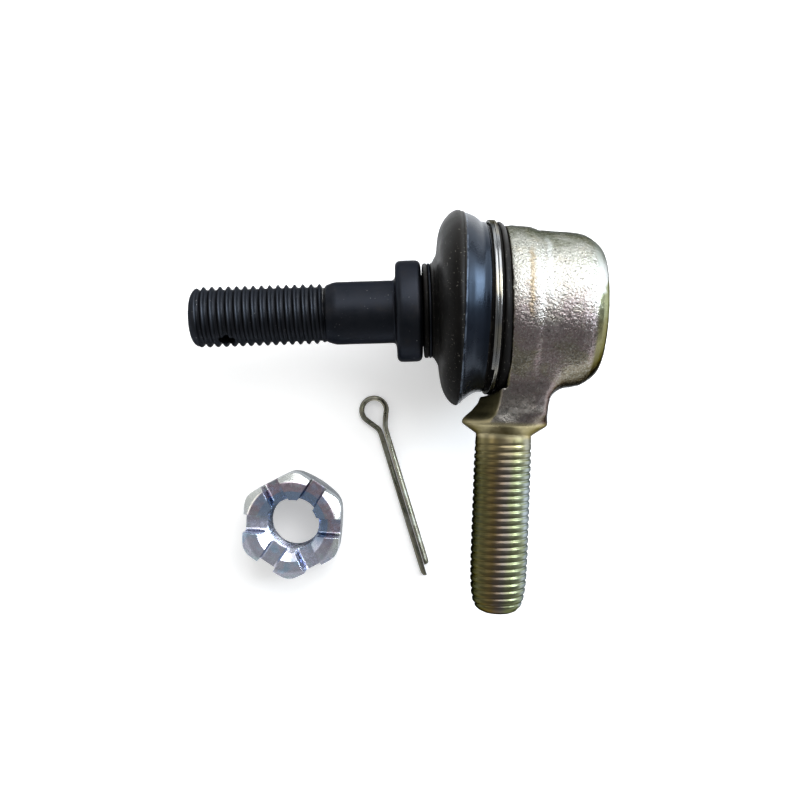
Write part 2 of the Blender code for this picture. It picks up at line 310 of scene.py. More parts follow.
def surface_net(field, low, high, step):
    """Points and quads of the zero level of a field, with one point in each cell that it crosses."""
    axes = [np.arange(low[i], high[i] + step, step) for i in range(3)]
    x, y, z = np.meshgrid(*axes, indexing='ij')
    values = field(x, y, z)
    solid = values < 0.0
    cells = tuple(n - 1 for n in values.shape)
    total = np.zeros(cells + (3,))
    crossings = np.zeros(cells)
    for axis in range(3):
        others = [a for a in range(3) if a != axis]
        for da in (0, 1):
            for db in (0, 1):
                lower = [slice(0, n) for n in cells]
                lower[others[0]] = slice(da, cells[others[0]] + da)
                lower[others[1]] = slice(db, cells[others[1]] + db)
                upper = list(lower)
                upper[axis] = slice(1, cells[axis] + 1)
                a, b = values[tuple(lower)], values[tuple(upper)]
                cross = (a < 0.0) != (b < 0.0)
                share = np.where(cross, a / np.where(cross, a - b, 1.0), 0.0)
                offset = np.zeros(cells + (3,))
                offset[..., axis] = share
                offset[..., others[0]] = da
                offset[..., others[1]] = db
                total += offset * cross[..., None]
                crossings += cross
    active = crossings > 0
    index = np.full(cells, -1)
    index[active] = np.arange(int(active.sum()))
    where = np.argwhere(active)
    points = np.array(low) + step * (where + total[active] / crossings[active][:, None])
    faces = []
    for axis in range(3):
        others = [(axis + 1) % 3, (axis + 2) % 3]
        lower = [slice(1, n) for n in cells]
        lower[axis] = slice(0, cells[axis])
        upper = list(lower)
        upper[axis] = slice(1, cells[axis] + 1)
        cross = solid[tuple(lower)] != solid[tuple(upper)]
        outward = solid[tuple(lower)][cross]
        base = np.argwhere(cross)
        for other in others:
            base[:, other] += 1
        corners = []
        for da, db in ((1, 1), (0, 1), (0, 0), (1, 0)):
            shift = base.copy()
            shift[:, others[0]] -= da
            shift[:, others[1]] -= db
            corners.append(index[shift[:, 0], shift[:, 1], shift[:, 2]])
        quads = np.stack(corners, axis=1)
        quads[~outward] = quads[~outward][:, ::-1]
        faces.append(quads)
    return points, np.concatenate(faces)


def settle_on_field(field, points, rounds=3):
    """Moves points on to the zero level and returns them with their normals."""
    small = 0.02
    for _ in range(rounds):
        value = field(*points.T)
        slope = np.stack([(field(*(points + np.eye(3)[a] * small).T) - value) / small
                          for a in range(3)], axis=1)
        size = np.maximum((slope ** 2).sum(1), 0.25)
        points = points - np.clip(value / size, -0.12, 0.12)[:, None] * slope
    return points, slope / np.maximum(np.linalg.norm(slope, axis=1), 1e-6)[:, None]


# ---------------------------------------------------------------- housing

# Outlines of the eye and of its inside, as (radius, distance from the ball toward the cover)
EYE_OUTLINE = [
    (0.0, 17.95), (11.3, 17.95), (12.0, 17.85), (12.8, 17.4), (13.6, 16.6), (14.4, 15.5), (15.0, 14.3),
    (15.35, 12.8), (15.5, 10.5), (15.55, 8.0), (15.62, 6.5), (15.66, 6.1), (15.62, 5.7), (15.66, 5.3),
    (15.95, 4.7), (16.2, 4.1), (16.3, 3.2), (16.35, 2.0), (16.38, 0.8), (16.2, -0.4), (14.6, -0.5),
    (14.6, -5.9), (15.3, -6.1), (15.3, -7.0), (14.4, -7.8), (13.8, -8.0), (0.0, -8.0),
]
CAVITY_OUTLINE = [
    (-1.0, 20.0), (10.95, 20.0), (10.95, 16.8), (12.5, 16.65), (13.05, 16.1), (13.1, 14.6), (12.8, 14.4),
    (12.8, -1.5), (10.5, -6.6), (9.6, -6.9), (9.9, -7.6), (10.9, -9.2), (-1.0, -9.2),
]
# The neck's sections along -Y: y, left edge, left edge of the top face, half height, right edge
NECK_SECTIONS = np.array([
    (-26.0, -5.6, -2.6, 5.4, 5.6),
    (-22.75, -7.75, -3.3, 8.1, 8.5),
    (-21.2, -6.9, -2.1, 8.1, 8.5),
    (-19.1, -5.25, -1.6, 8.1, 8.65),
    (-17.4, -4.75, -1.4, 8.2, 9.0),
    (-14.7, -4.75, -1.3, 8.6, 10.4),
    (-10.0, -4.0, -1.0, 10.6, 12.5),
])

# Radius of the eye's end, at which its tilt is counted
SEAT_R = 16.4


def seat_shift(side, up):
    """How far the eye's end, a little askew, lies beyond square. Side is +Y and up +Z, as shares."""
    return -0.38 - 0.72 * side + 0.06 * up


def ring_shift(side, up):
    """The same for the groove of the clamp ring."""
    return -0.18 - 0.42 * side + 0.46 * up


def neck_distance(x, y, z):
    """Forged neck: a crowned top and bottom face, slanted front flanks and a round collar below."""
    rise = np.abs(z)
    left, flank, height, right = (np.interp(y, NECK_SECTIONS[:, 0], NECK_SECTIONS[:, k])
                                  for k in range(1, 5))
    slant = (flank - left) / (height - 0.8)
    front = (left + np.maximum(rise - 0.8, 0.0) * slant - x) / np.sqrt(1.0 + slant ** 2)
    front = np.maximum(front, (left - x))
    crown = rise - height + 0.018 * (x - 3.0) ** 2
    back = (x - right + 0.05 * rise ** 1.6) * 0.9
    bar = smooth_max(smooth_max(front, crown, 0.35), back, 2.6)
    collar_r = np.interp(y, [-25.5, -25.1, -23.5, -23.1, -19.0], [5.35, 5.7, 8.1, 8.5, 8.65])
    collar = (np.sqrt((x - 0.1) ** 2 + (1.045 * z) ** 2) - collar_r) * 0.78
    share = smoothstep(-20.6, -23.1, y)
    neck = bar * (1.0 - share) + collar * share
    below = -25.6 - y
    return smooth_max(np.maximum(neck, below), y + 9.0, 0.5)


def housing_distance(x, y, z):
    radius = np.sqrt(y ** 2 + z ** 2)
    near_end = (1.0 - smoothstep(0.5, 6.5, x)) * smoothstep(-4.5, -2.0, x)
    square = x - near_end * seat_shift(y / SEAT_R, z / SEAT_R)
    eye = polygon_distance(EYE_OUTLINE + [(-1.0, -8.0), (-1.0, 17.95)], radius, square)
    clearance = np.maximum(x + 0.45, radius - 17.8)
    body = smooth_min(eye, neck_distance(x, y, z), 2.4)
    body = np.minimum(smooth_max(body, -clearance, 0.5), eye)
    return np.maximum(body, -polygon_distance(CAVITY_OUTLINE, radius, x))


def forged_share(points):
    """1 on the rough forged skin, 0 on the turned and rolled surfaces."""
    x, y, z = points.T
    radius = np.sqrt(y ** 2 + z ** 2)
    rough = smoothstep(17.0, 16.2, x)
    rough = rough * smoothstep(14.2, 14.7, np.maximum(radius, -y))
    front = smoothstep(-0.55, -0.2, x - seat_shift(y / SEAT_R, z / SEAT_R))
    beyond = smoothstep(17.4, 17.9, radius)
    collar = smoothstep(-23.2, -22.4, y)
    edge = np.interp(y, NECK_SECTIONS[:, 0], NECK_SECTIONS[:, 2])
    flank = np.maximum(smoothstep(-0.5, 0.1, x - edge), smoothstep(-15.4, -14.6, y))
    return rough * np.maximum(front, beyond) * collar * flank


def build_housing():
    """Forged eye and neck as one skin, joined to the threaded rod."""
    low, high = (-8.5, -26.2, -17.1), (18.6, 17.2, 17.1)
    points, faces = surface_net(housing_distance, low, high, 0.34)
    points, normals = settle_on_field(housing_distance, points)
    forged = forged_share(points)
    lift = np.array([
        0.035 * noise.noise(Vector(p) * 0.4) + 0.025 * noise.noise(Vector(p) * 1.0 + Vector((9, 3, 5)))
        + 0.03 * noise.noise(Vector(p) * 2.2) for p in points])
    points = points + normals * (lift * forged)[:, None]
    mesh = bpy.data.meshes.new("housing_skin")
    mesh.from_pydata([BALL + Vector(p) * MM for p in points], [], [tuple(f) for f in faces.tolist()])
    body = new_object("housing_skin", mesh)

    barrel = spline([
        (24.2, 5.45), (24.9, 5.52), (25.6, 5.50), (26.6, 5.56), (28.6, 5.64), (34.0, 5.70), (48.0, 5.70),
        (52.0, 5.66), (54.5, 5.56), (56.6, 5.36), (58.2, 5.06), (59.3, 4.6), (60.1, 3.9), (60.65, 2.8),
    ], 5)
    rod_profile = [(19.0, 0.0), (19.0, 4.6)] + barrel + [(60.9, 1.5), (ROD_TIP, 0.7), (ROD_TIP, 0.0)]
    thread = {"start": 25.9, "end": 60.3, "pitch": 1.43, "depth": 0.24, "crest": 5.70, "samples": 11,
              "fade": (3.0, 1.0), "flat": 0.40, "root": 0.04}
    rod = lathe("rod", rod_profile, along(ROD_AXIS), 96, thread)
    combine(body, rod, 'UNION', 'MANIFOLD')
    body.name = "housing_forging"
    shade(body, 60.0)
    coordinates = np.array([(v.co - BALL) / MM for v in body.data.vertices])
    share = forged_share(coordinates)
    share[coordinates[:, 1] < -24.2] = 0.0
    layer = body.data.attributes.new("forged", 'FLOAT', 'POINT')
    layer.data.foreach_set("value", share.astype(np.float32))
    return body


# ---------------------------------------------------------------- stud

def build_stud():
    """Ball stud with a rolled M12 thread, a parallel shank, its seating collar and the pin hole."""
    ball = [(BALL_R * math.sin(a), BALL_R * math.cos(a))
            for a in np.radians(np.linspace(-65, 58, 40))]
    neck = spline([ball[-1], (10.3, 5.35), (11.4, 5.2), (12.7, 5.6), (13.8, 6.5)], 5)[1:]
    collar = round_corners([(13.8, 6.5), (17.3, 6.5), (17.3, 10.1), (22.4, 10.1), (22.4, 6.9),
                            (22.75, 6.3), (23.2, 6.25)], 1.3, 6)
    shank = round_corners([(23.3, 6.25), (34.6, 6.25), (35.9, 5.75), (36.6, 5.62)], 0.8, 4)[1:]
    tip = spline([(59.8, 6.05), (61.0, 6.03), (61.9, 5.88), (62.6, 5.4), (63.08, 4.6), (63.34, 3.5)], 4)
    tip += [(63.42, 2.2), (STUD_TIP, 0.6), (STUD_TIP, 0.0)]
    outline = [(ball[0][0], 0.0)] + ball + neck + collar + shank + [(37.2, 6.0)] + tip
    thread = {"start": 35.85, "end": 62.2, "pitch": 1.65, "depth": 0.66, "crest": 6.05, "samples": 14,
              "fade": (1.2, 1.0), "flat": 0.05, "root": 0.24}
    stud = lathe("ball_stud_fine", outline, along(STUD_AXIS), 96, thread)
    place = along(STUD_AXIS)
    combine(stud, pin_hole_tool(place), 'DIFFERENCE')
    shade(stud, 40.0)
    add_crest_layer(stud, place, 5.0, 6.0, 36.4, 62.2)
    return stud


def pin_hole_tool(place):
    """The cutter for the stud's cross hole, which opens out at both ends."""
    direction = math.radians(-63.0)
    hole_from_tip = 7.5
    axis = (place.to_3x3() @ Vector((math.cos(direction), math.sin(direction), 0.0))).normalized()
    centre = place @ Vector((0.0, 0.0, STUD_TIP - hole_from_tip))
    outline = round_corners([(-9.0, 0.0), (-9.0, 2.6), (-6.2, 1.95), (-5.5, 1.6), (5.5, 1.6),
                             (6.2, 1.95), (9.0, 2.6), (9.0, 0.0)], 0.4, 3)
    return lathe("hole", outline, along(axis, centre), 40)


def add_crest_layer(item, place, root, crest, start, end):
    """Stores how near each point of a thread is to its crest, for wear and colour.

    The plain shank counts as a root and the end face as neither.
    """
    inverse = place.inverted()
    values = []
    for vertex in item.data.vertices:
        local = inverse @ vertex.co
        share = min(max((math.hypot(local.x, local.y) - root) / (crest - root), 0.0), 1.0)
        if local.z > end:
            share = 0.6
        elif local.z <= start:
            share = 0.0
        values.append(share)
    layer = item.data.attributes.new("crest", 'FLOAT', 'POINT')
    layer.data.foreach_set("value", values)


# ---------------------------------------------------------------- boot and rings

BOOT_OUTER = [
    (-0.55, 15.9), (-0.62, 16.25), (-0.9, 16.62), (-1.4, 16.92), (-2.0, 17.05), (-2.3, 16.95),
    (-2.48, 16.75), (-2.58, 16.5), (-2.7, 16.45), (-4.65, 16.45), (-4.78, 16.5), (-4.9, 16.8),
    (-5.25, 16.95), (-6.0, 16.98), (-6.9, 17.5), (-7.8, 18.1), (-8.8, 18.65), (-9.3, 18.9),
    (-9.48, 19.16), (-9.62, 19.19), (-9.78, 19.2), (-10.25, 19.47), (-10.8, 19.38), (-11.6, 18.9),
    (-12.5, 17.9), (-13.2, 16.65), (-13.65, 15.2), (-13.9, 13.6), (-14.05, 12.2), (-14.28, 11.0),
    (-14.72, 10.15), (-15.02, 9.62), (-15.3, 9.42), (-15.42, 9.25), (-15.5, 9.0), (-16.0, 9.0),
    (-16.1, 9.25), (-16.25, 9.42), (-16.7, 9.42), (-16.95, 9.2), (-17.0, 8.6), (-17.0, 7.1),
]
BOOT_INNER = [
    (-16.8, 6.8), (-15.3, 6.8), (-14.2, 7.2), (-13.1, 9.0), (-12.6, 12.5), (-12.1, 15.2), (-11.3, 17.1),
    (-10.3, 17.9), (-8.8, 17.3), (-7.2, 16.4), (-6.0, 15.9), (-5.5, 15.05), (-4.9, 14.9), (-1.0, 14.9),
    (-0.8, 15.2),
]


def bend_share(height):
    """How far the boot's ring at this height has turned with the stud."""
    share = min(max((height + 6.4) / -7.1, 0.0), 1.0)
    return share * share * (3.0 - 2.0 * share)


def build_boot():
    """Rubber boot with its mould parting line, soft folds and a lip on the stud."""
    outline = spline(BOOT_OUTER + BOOT_INNER, 4, closed=True)

    def bend(point, angle):
        soft = min(max((-point.z - 5.5) / 3.0, 0.0), 1.0) * min(max((point.z + 14.6) / 1.2, 0.0), 1.0)
        uneven = noise.noise(Vector((math.cos(angle) * 1.3, math.sin(angle) * 1.3, point.z * 0.12)))
        fold = noise.noise(Vector((math.cos(angle) * 3.0, math.sin(angle) * 3.0, point.z * 0.35 + 7.0)))
        stretch = 1.0 + soft * (0.010 * uneven + 0.005 * fold - 0.003)
        point = Vector((point.x * stretch, point.y * stretch, point.z + soft * 0.22 * uneven))
        side, up = -math.sin(angle), math.cos(angle)
        on_seat = float(smoothstep(-7.5, -5.0, point.z))
        near_eye = float(smoothstep(-2.9, -0.9, point.z))
        point.z += on_seat * (ring_shift(side, up) * (1.0 - near_eye) + seat_shift(side, up) * near_eye)
        # The housing axis is local Z and up is local X, so the stud's swivel is about local X
        return Matrix.Rotation(REST_SWIVEL * bend_share(point.z), 3, 'X') @ point

    return ring_lathe("dust_boot", outline, along(HOUSING_AXIS), 144, 50.0, bend)


def build_clamp_ring():
    """Flat wire wound in two turns, a little askew, with its ends showing as steps."""
    turns = 2.06
    start = math.radians(47.0)
    steps = int(turns * 120)
    half_width, half_thick = 0.31, 0.30
    corner = round_corners([(-half_width, -half_thick), (half_width, -half_thick),
                            (half_width, half_thick), (-half_width, half_thick)], 0.16, 3, True)
    sections = []
    for i in range(steps + 1):
        turned = i / steps * turns
        angle = start - math.tau * turned
        # The wire runs square for most of a turn and crosses over to the next turn in a short stretch
        crossing = float(smoothstep(0.84, 1.02, turned))
        height = -4.06 + 0.64 * crossing
        radius = 17.08 + 0.05 * math.sin(angle * 2.0)
        section = []
        for along_axis, outwards in corner:
            r = radius + outwards
            askew = ring_shift(-math.sin(angle), math.cos(angle))
            section.append((r * math.cos(angle), r * math.sin(angle), height + askew + along_axis))
        sections.append(section)
    return sweep("clamp_ring_wire", sections, along(HOUSING_AXIS), sharp=35.0)


def build_neck_ring():
    """Dark wire ring in the groove of the boot's lip, with a small gap where its ends meet."""
    sections = []
    wire, gap, steps = 0.24, math.radians(5.0), 150
    for i in range(steps + 1):
        angle = gap + (math.tau - 2 * gap) * i / steps - math.radians(150)
        taper = 1.0 - 0.35 * (i in (0, steps))
        section = []
        for k in range(14):
            around = math.tau * k / 14
            r = 9.22 + wire * taper * math.cos(around)
            section.append((r * math.cos(angle), r * math.sin(angle),
                            15.75 + wire * taper * math.sin(around)))
        sections.append(section)
    return sweep("neck_ring_wire", sections, along(STUD_AXIS))


# ---------------------------------------------------------------- hidden pieces

def build_cover():
    outline = round_corners([(14.9, 0.0), (14.9, 12.8), (16.5, 12.8), (16.5, 10.6), (17.6, 10.25),
                             (17.6, 7.4), (17.42, 6.6), (17.42, 0.0)], 0.45, 4)
    return lathe("cover_plate_fine", outline, along(HOUSING_AXIS), 128)


# ---------------------------------------------------------------- loose nut and pin

def build_nut():
    """Hexagon castle nut with a chamfered crown, slots, countersinks and its thread."""
    low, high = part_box("castle_nut")
    centre = (low + high) / 2
    turn = Matrix.Rotation(math.radians(-1.0), 4, 'Z')
    place = Matrix.Translation((centre.x, centre.y, low.z)) @ turn @ Matrix.Scale(MM, 4)
    height = 15.0
    half_flats, corner_angle = 19.8 / 2, math.radians(30)
    corners = []
    for i in range(6):
        angle = math.radians(30 + 60 * i)
        corners.append((math.cos(angle) * half_flats / math.cos(corner_angle),
                        math.sin(angle) * half_flats / math.cos(corner_angle)))
    rim = round_corners(corners, 2.0, 7, True)
    levels = (0.0, 2.0, 5.0, 8.0, 10.0, 12.0, 14.0, height)
    nut = sweep("castle_nut_fine", [[(x, y, level) for x, y in rim] for level in levels], place)
    crown = spline([(height - 2.3, 12.6), (height - 1.7, 11.6), (height - 1.1, 10.7),
                    (height - 0.5, 9.85), (height - 0.18, 9.4), (height - 0.03, 9.05)], 4)
    blank = lathe("blank", [(-0.02, 0.0), (-0.02, 9.5), (0.3, 9.8), (5.5, 10.95), (6.2, 12.6)]
                  + crown + [(height + 0.02, 8.7), (height + 0.02, 0.0)], place, 128)
    combine(nut, blank, 'INTERSECT')
    combine(nut, build_nut_bore(place, height), 'DIFFERENCE')
    for i in range(3):
        combine(nut, slot_tool(place, math.radians(60 * i), height), 'DIFFERENCE')
    shade(nut, 30.0)
    return nut


def build_nut_bore(place, height):
    """The nut's bore as a solid: a threaded core with a countersink at each end."""
    outline = [(-1.6, 0.0), (-1.6, 7.0), (-0.02, 6.35), (0.9, 5.4), (1.1, 6.16), (height - 1.35, 6.16),
               (height - 1.15, 5.4), (height + 0.02, 7.2), (height + 1.6, 9.6), (height + 1.6, 0.0)]
    thread = {"start": 1.12, "end": height - 1.38, "pitch": 1.65, "depth": 0.84, "crest": 6.14,
              "samples": 12, "fade": (0.02, 0.02), "flat": 0.14, "root": 0.20}
    return lathe("bore", outline, place, 72, thread)


def slot_tool(place, angle, height):
    """A slot's cutter, with rounded lower corners."""
    half, depth = 1.9, 5.5
    outline = round_corners([(-half, height + 2.0), (-half, height - depth), (half, height - depth),
                             (half, height + 2.0)], 0.7, 5)
    turn = Matrix.Rotation(angle, 3, 'Z')
    sections = [[turn @ Vector((x, y, z)) for y, z in outline] for x in (-14.0, 14.0)]
    return sweep("slot", sections, place)


def build_pin():
    """Half round wire bent into an eye and two touching legs."""
    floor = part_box("cotter_pin")[0].z
    heading = math.radians(-70.9)
    wire = 1.09
    length = 40.4
    offset = 0.09
    eye_r = 2.70 - wire / 2
    eye_along, eye_aside = 2.72, -0.60
    joined = eye_along + 5.0
    leg_out = [(length - 2.3, offset), (length - 2.5, offset), (length - 2.9, offset)]
    leg_out += [(x, offset) for x in np.linspace(length - 3.6, joined + 3.0, 20)]
    loop = [(eye_along + eye_r * math.cos(a), eye_aside + eye_r * math.sin(a))
            for a in np.radians(np.linspace(55, 305, 12))]
    bend_out = [(joined + 1.4, offset), (joined, offset + 0.03), (joined - 1.5, offset + 0.22)]
    bend_back = [(joined - 1.3, -offset - 0.46), (joined - 0.2, -offset - 0.08), (joined + 1.2, -offset)]
    leg_back = [(x, -offset) for x in np.linspace(joined + 3.0, length - 2.2, 20)]
    leg_back += [(length - 1.2, -offset), (length - 0.5, -offset), (length, -offset)]
    path = np.array(spline(leg_out + bend_out + loop + bend_back + leg_back, 3))
    sections = []
    for i, point in enumerate(path):
        tangent = path[min(i + 1, len(path) - 1)] - path[max(i - 1, 0)]
        tangent = tangent / np.linalg.norm(tangent)
        outward = np.array((tangent[1], -tangent[0]))
        from_end = min(i, len(path) - 1 - i)
        full = 1.0 - 0.55 * math.exp(-from_end * 0.45)
        section = []
        for k in range(13):
            angle = math.radians(-90 + 180 * k / 12)
            x, y = point + outward * wire * full * math.cos(angle)
            section.append((x, y, wire * full * math.sin(angle)))
        for y in (0.55, 0.0, -0.55):
            section.append((point[0] - outward[0] * 0.02, point[1] - outward[1] * 0.02,
                            wire * full * y))
        sections.append(section)
    # The eye's top stands at the high Y end of the CAD pin's box
    top = Vector((-26.8, -18.8, 0.0)) * MM + BALL
    place = Matrix.Translation((top.x, top.y, floor + wire * MM))
    place = place @ Matrix.Rotation(heading, 4, 'Z') @ Matrix.Scale(MM, 4)
    return sweep("cotter_pin_fine", sections, place, sharp=50.0)


# ---------------------------------------------------------------- materials

def map_range(tree, low, high, out_low, out_high, smooth=True):
    """A node that carries values from low..high over to out_low..out_high."""
    node = tree.nodes.new("ShaderNodeMapRange")
    node.interpolation_type = 'SMOOTHSTEP' if smooth else 'LINEAR'
    for socket, number in (("From Min", low), ("From Max", high), ("To Min", out_low),
                           ("To Max", out_high)):
        node.inputs[socket].default_value = number
    return node


class Shader:
    """Builds one procedural material. Its noise scales are features per millimetre."""

    def __init__(self, name):
        self.material = bpy.data.materials.new(name)
        self.material.use_nodes = True
        self.tree = self.material.node_tree
        self.surface = self.tree.nodes["Principled BSDF"]
        coordinates = self.node("TexCoord")
        self.object_place = coordinates.outputs["Object"]
        self.object_normal = coordinates.outputs["Normal"]
        scale = self.node("VectorMath")
        scale.operation = 'SCALE'
        scale.inputs["Scale"].default_value = 1.0 / MM
        self.tree.links.new(self.object_place, scale.inputs[0])
        self.place = scale.outputs[0]

    def node(self, kind):
        return self.tree.nodes.new("ShaderNode" + kind)

    def feed(self, socket, value):
        if isinstance(value, bpy.types.NodeSocket):
            self.tree.links.new(value, socket)
        elif isinstance(value, (tuple, list)) and len(value) == 3 and len(socket.default_value) == 4:
            socket.default_value = (*value, 1.0)
        else:
            socket.default_value = value

    def noise(self, scale, detail=2.0, rough=0.5, stretch=(1.0, 1.0, 1.0), offset=(0.0, 0.0, 0.0)):
        moved = self.node("Mapping")
        moved.inputs["Scale"].default_value = stretch
        moved.inputs["Location"].default_value = offset
        self.tree.links.new(self.place, moved.inputs["Vector"])
        node = self.node("TexNoise")
        node.inputs["Scale"].default_value = scale
        node.inputs["Detail"].default_value = detail
        node.inputs["Roughness"].default_value = rough
        self.tree.links.new(moved.outputs[0], node.inputs["Vector"])
        return node.outputs[0]

    def attribute(self, name):
        node = self.node("Attribute")
        node.attribute_name = name
        return node.outputs["Fac"]

    def component(self, vector, axis):
        node = self.node("SeparateXYZ")
        self.tree.links.new(vector, node.inputs[0])
        return node.outputs[axis]

    def math(self, operation, first, second=0.0, third=0.0):
        node = self.node("Math")
        node.operation = operation
        self.feed(node.inputs[0], first)
        self.feed(node.inputs[1], second)
        if operation == 'MULTIPLY_ADD':
            self.feed(node.inputs[2], third)
        return node.outputs[0]

    def plus(self, first, second):
        return self.math('ADD', first, second)

    def minus(self, first, second):
        return self.math('SUBTRACT', first, second)

    def times(self, first, *others):
        for other in others:
            first = self.math('MULTIPLY', first, other)
        return first

    def between(self, value, low, high, out_low=0.0, out_high=1.0, smooth=True):
        node = map_range(self.tree, low, high, out_low, out_high, smooth)
        self.feed(node.inputs["Value"], value)
        return node.outputs[0]

    def mix(self, share, first, second):
        node = self.node("Mix")
        node.data_type = 'RGBA'
        self.feed(node.inputs[0], share)
        self.feed(node.inputs[6], first)
        self.feed(node.inputs[7], second)
        return node.outputs[2]

    def ramp(self, value, stops):
        node = self.node("ValToRGB")
        bar = node.color_ramp
        bar.interpolation = 'EASE'
        while len(bar.elements) < len(stops):
            bar.elements.new(0.5)
        for element, (position, colour) in zip(bar.elements, stops):
            element.position = position
            element.color = (*colour, 1.0)
        self.feed(node.inputs[0], value)
        return node.outputs[0]

    def bump(self, height, depth_mm, strength=1.0, below=None):
        node = self.node("Bump")
        node.inputs["Distance"].default_value = depth_mm * MM
        self.feed(node.inputs["Strength"], strength)
        self.feed(node.inputs["Height"], height)
        if below:
            self.tree.links.new(below, node.inputs["Normal"])
        return node.outputs[0]

    def painted_side_shade(self, colour, least):
        """Painted shade: dims the colour where the surface turns away from straight up."""
        up = self.component(self.object_normal, 2)
        return self.mix(self.between(up, 0.05, 0.60, 1.0 - least, 0.0), colour, (0.01, 0.01, 0.009))

    def bevel(self, radius_mm):
        node = self.node("Bevel")
        node.samples = 6
        node.inputs["Radius"].default_value = radius_mm * MM
        return node.outputs[0]

    def finish(self, **sockets):
        names = {"colour": "Base Color", "rough": "Roughness", "metal": "Metallic", "normal": "Normal",
                 "specular": "Specular IOR Level", "tint": "Specular Tint", "glow": "Emission Color",
                 "glow_power": "Emission Strength"}
        for key, value in sockets.items():
            self.feed(self.surface.inputs[names[key]], value)
        return self.material


# A dulled surface reflects little at a glancing angle
DARK_EDGE = (0.17, 0.17, 0.16)


def yellow_zinc():
    """Shot blasted forging under yellow chromate, whose film changes tint round the curves; the tints
    carry painted light and shade as well.
    """
    s = Shader("yellow_zinc_forging")
    forged = s.attribute("forged")
    x, y, z = (s.component(s.place, axis) for axis in range(3))
    cloud = s.noise(0.16, 3.0, 0.6)
    around = s.component(s.object_normal, 1)
    around = s.plus(around, s.between(cloud, 0.25, 0.75, -0.28, 0.28, False))
    # The film's tint follows which way the surface faces: partly the chromate's own mauve and olive,
    # partly painted light and shade, lighter and more neutral where it faces the window toward +Y,
    # darker at the edges facing +Y and -Y.
    skin = s.ramp(s.between(around, -1.0, 1.0, 0.0, 1.0, False), [
        (0.03, (0.120, 0.108, 0.076)), (0.16, (0.185, 0.162, 0.122)), (0.28, (0.235, 0.183, 0.182)),
        (0.41, (0.260, 0.215, 0.215)), (0.50, (0.285, 0.260, 0.240)), (0.60, (0.330, 0.325, 0.300)),
        (0.80, (0.310, 0.315, 0.280)), (0.97, (0.150, 0.160, 0.120))])
    patch = s.noise(0.45, 3.0, 0.55, offset=(5.0, 2.0, 9.0))
    skin = s.mix(s.between(patch, 0.52, 0.76, 0.0, 0.30), skin, (0.310, 0.265, 0.180))
    speck = s.noise(3.1, 2.0, 0.6)
    skin = s.mix(s.between(speck, 0.46, 0.70, 0.0, 0.5), skin, (0.50, 0.50, 0.47))
    pits = s.between(s.noise(2.1, 2.0, 0.5, offset=(1.0, 7.0, 3.0)), 0.28, 0.42, 0.75, 0.0)
    skin = s.mix(pits, skin, (0.060, 0.055, 0.045))
    skin = s.mix(s.between(y, -12.0, -17.0, 0.0, 0.55), skin, (0.130, 0.108, 0.098))
    # A narrow stain and a painted highlight along the die's parting step, both on the side that faces up
    upper = s.between(z, 6.0, 11.0)
    wave = s.between(s.noise(0.5, 2.0, 0.5, stretch=(0.0, 1.0, 0.0)), 0.3, 0.7, -0.3, 0.3, False)
    from_ball = s.plus(s.plus(x, -BALL.x / MM), wave)
    stain = s.between(s.math('ABSOLUTE', s.minus(from_ball, 2.8)), 0.10, 0.80, 1.0, 0.0)
    run = s.times(s.between(y, -4.0, -1.5), s.between(y, 11.5, 9.0))
    stain = s.times(stain, upper, run, 0.60)
    skin = s.mix(stain, skin, (0.200, 0.145, 0.070))
    # Painted highlight: a pale line along the parting step, strongest toward +Y.
    line = s.between(s.math('ABSOLUTE', s.minus(from_ball, 6.2)), 0.15, 0.75, 1.0, 0.0)
    line = s.times(line, upper, s.between(y, -2.0, 3.0, 0.0, 0.32))
    skin = s.mix(line, skin, (0.58, 0.62, 0.62))

    # Thread, neck shoulder and rolled rim: a smooth film that turns from gold to green and blue with the
    # facing, partly the film's own tint and partly painted reflection, with a pale edge on the thread's
    # +X side and a pale painted highlight band on the rim
    side = s.component(s.object_normal, 0)
    side = s.plus(side, s.between(cloud, 0.3, 0.7, -0.10, 0.10, False))
    rod = s.ramp(s.between(side, -1.0, 1.0, 0.0, 1.0, False), [
        (0.05, (0.075, 0.078, 0.042)), (0.18, (0.095, 0.086, 0.036)), (0.33, (0.130, 0.096, 0.040)),
        (0.43, (0.122, 0.094, 0.068)), (0.53, (0.112, 0.099, 0.083)), (0.66, (0.145, 0.155, 0.085)),
        (0.80, (0.165, 0.180, 0.112)), (0.95, (0.34, 0.38, 0.40))])
    rim = s.ramp(s.between(around, -1.0, 1.0, 0.0, 1.0, False), [
        (0.10, (0.105, 0.095, 0.058)), (0.40, (0.165, 0.155, 0.085)), (0.52, (0.215, 0.225, 0.140)),
        (0.60, (0.55, 0.56, 0.55)), (0.85, (0.40, 0.42, 0.39))])
    # The plain rod top and the flanks beside the boot are lighter than the thread, and the shoulder cone
    # between them carries a painted highlight
    rod = s.mix(s.between(y, -33.0, -26.0, 0.0, 0.55), rod, (0.24, 0.20, 0.10))
    # Painted highlight: pale gold on the shoulder cone.
    rod = s.mix(s.between(y, -26.2, -25.4), rod, (0.40, 0.35, 0.21))
    rod = s.mix(s.between(y, -22.8, -21.5), rod, (0.20, 0.18, 0.095))
    film = s.mix(s.between(x, BALL.x / MM + 12.0, BALL.x / MM + 13.0), rod, rim)
    colour = s.mix(s.minus(1.0, forged), skin, film)
    fine = s.bump(s.noise(6.0, 2.0, 0.6), 0.006, 0.35)
    grain = s.noise(2.0, 3.0, 0.6)
    relief = s.times(forged, s.between(y, -15.0, 2.0, 0.16, 0.85))
    normal = s.bump(grain, 0.30, s.plus(relief, 0.015), fine)
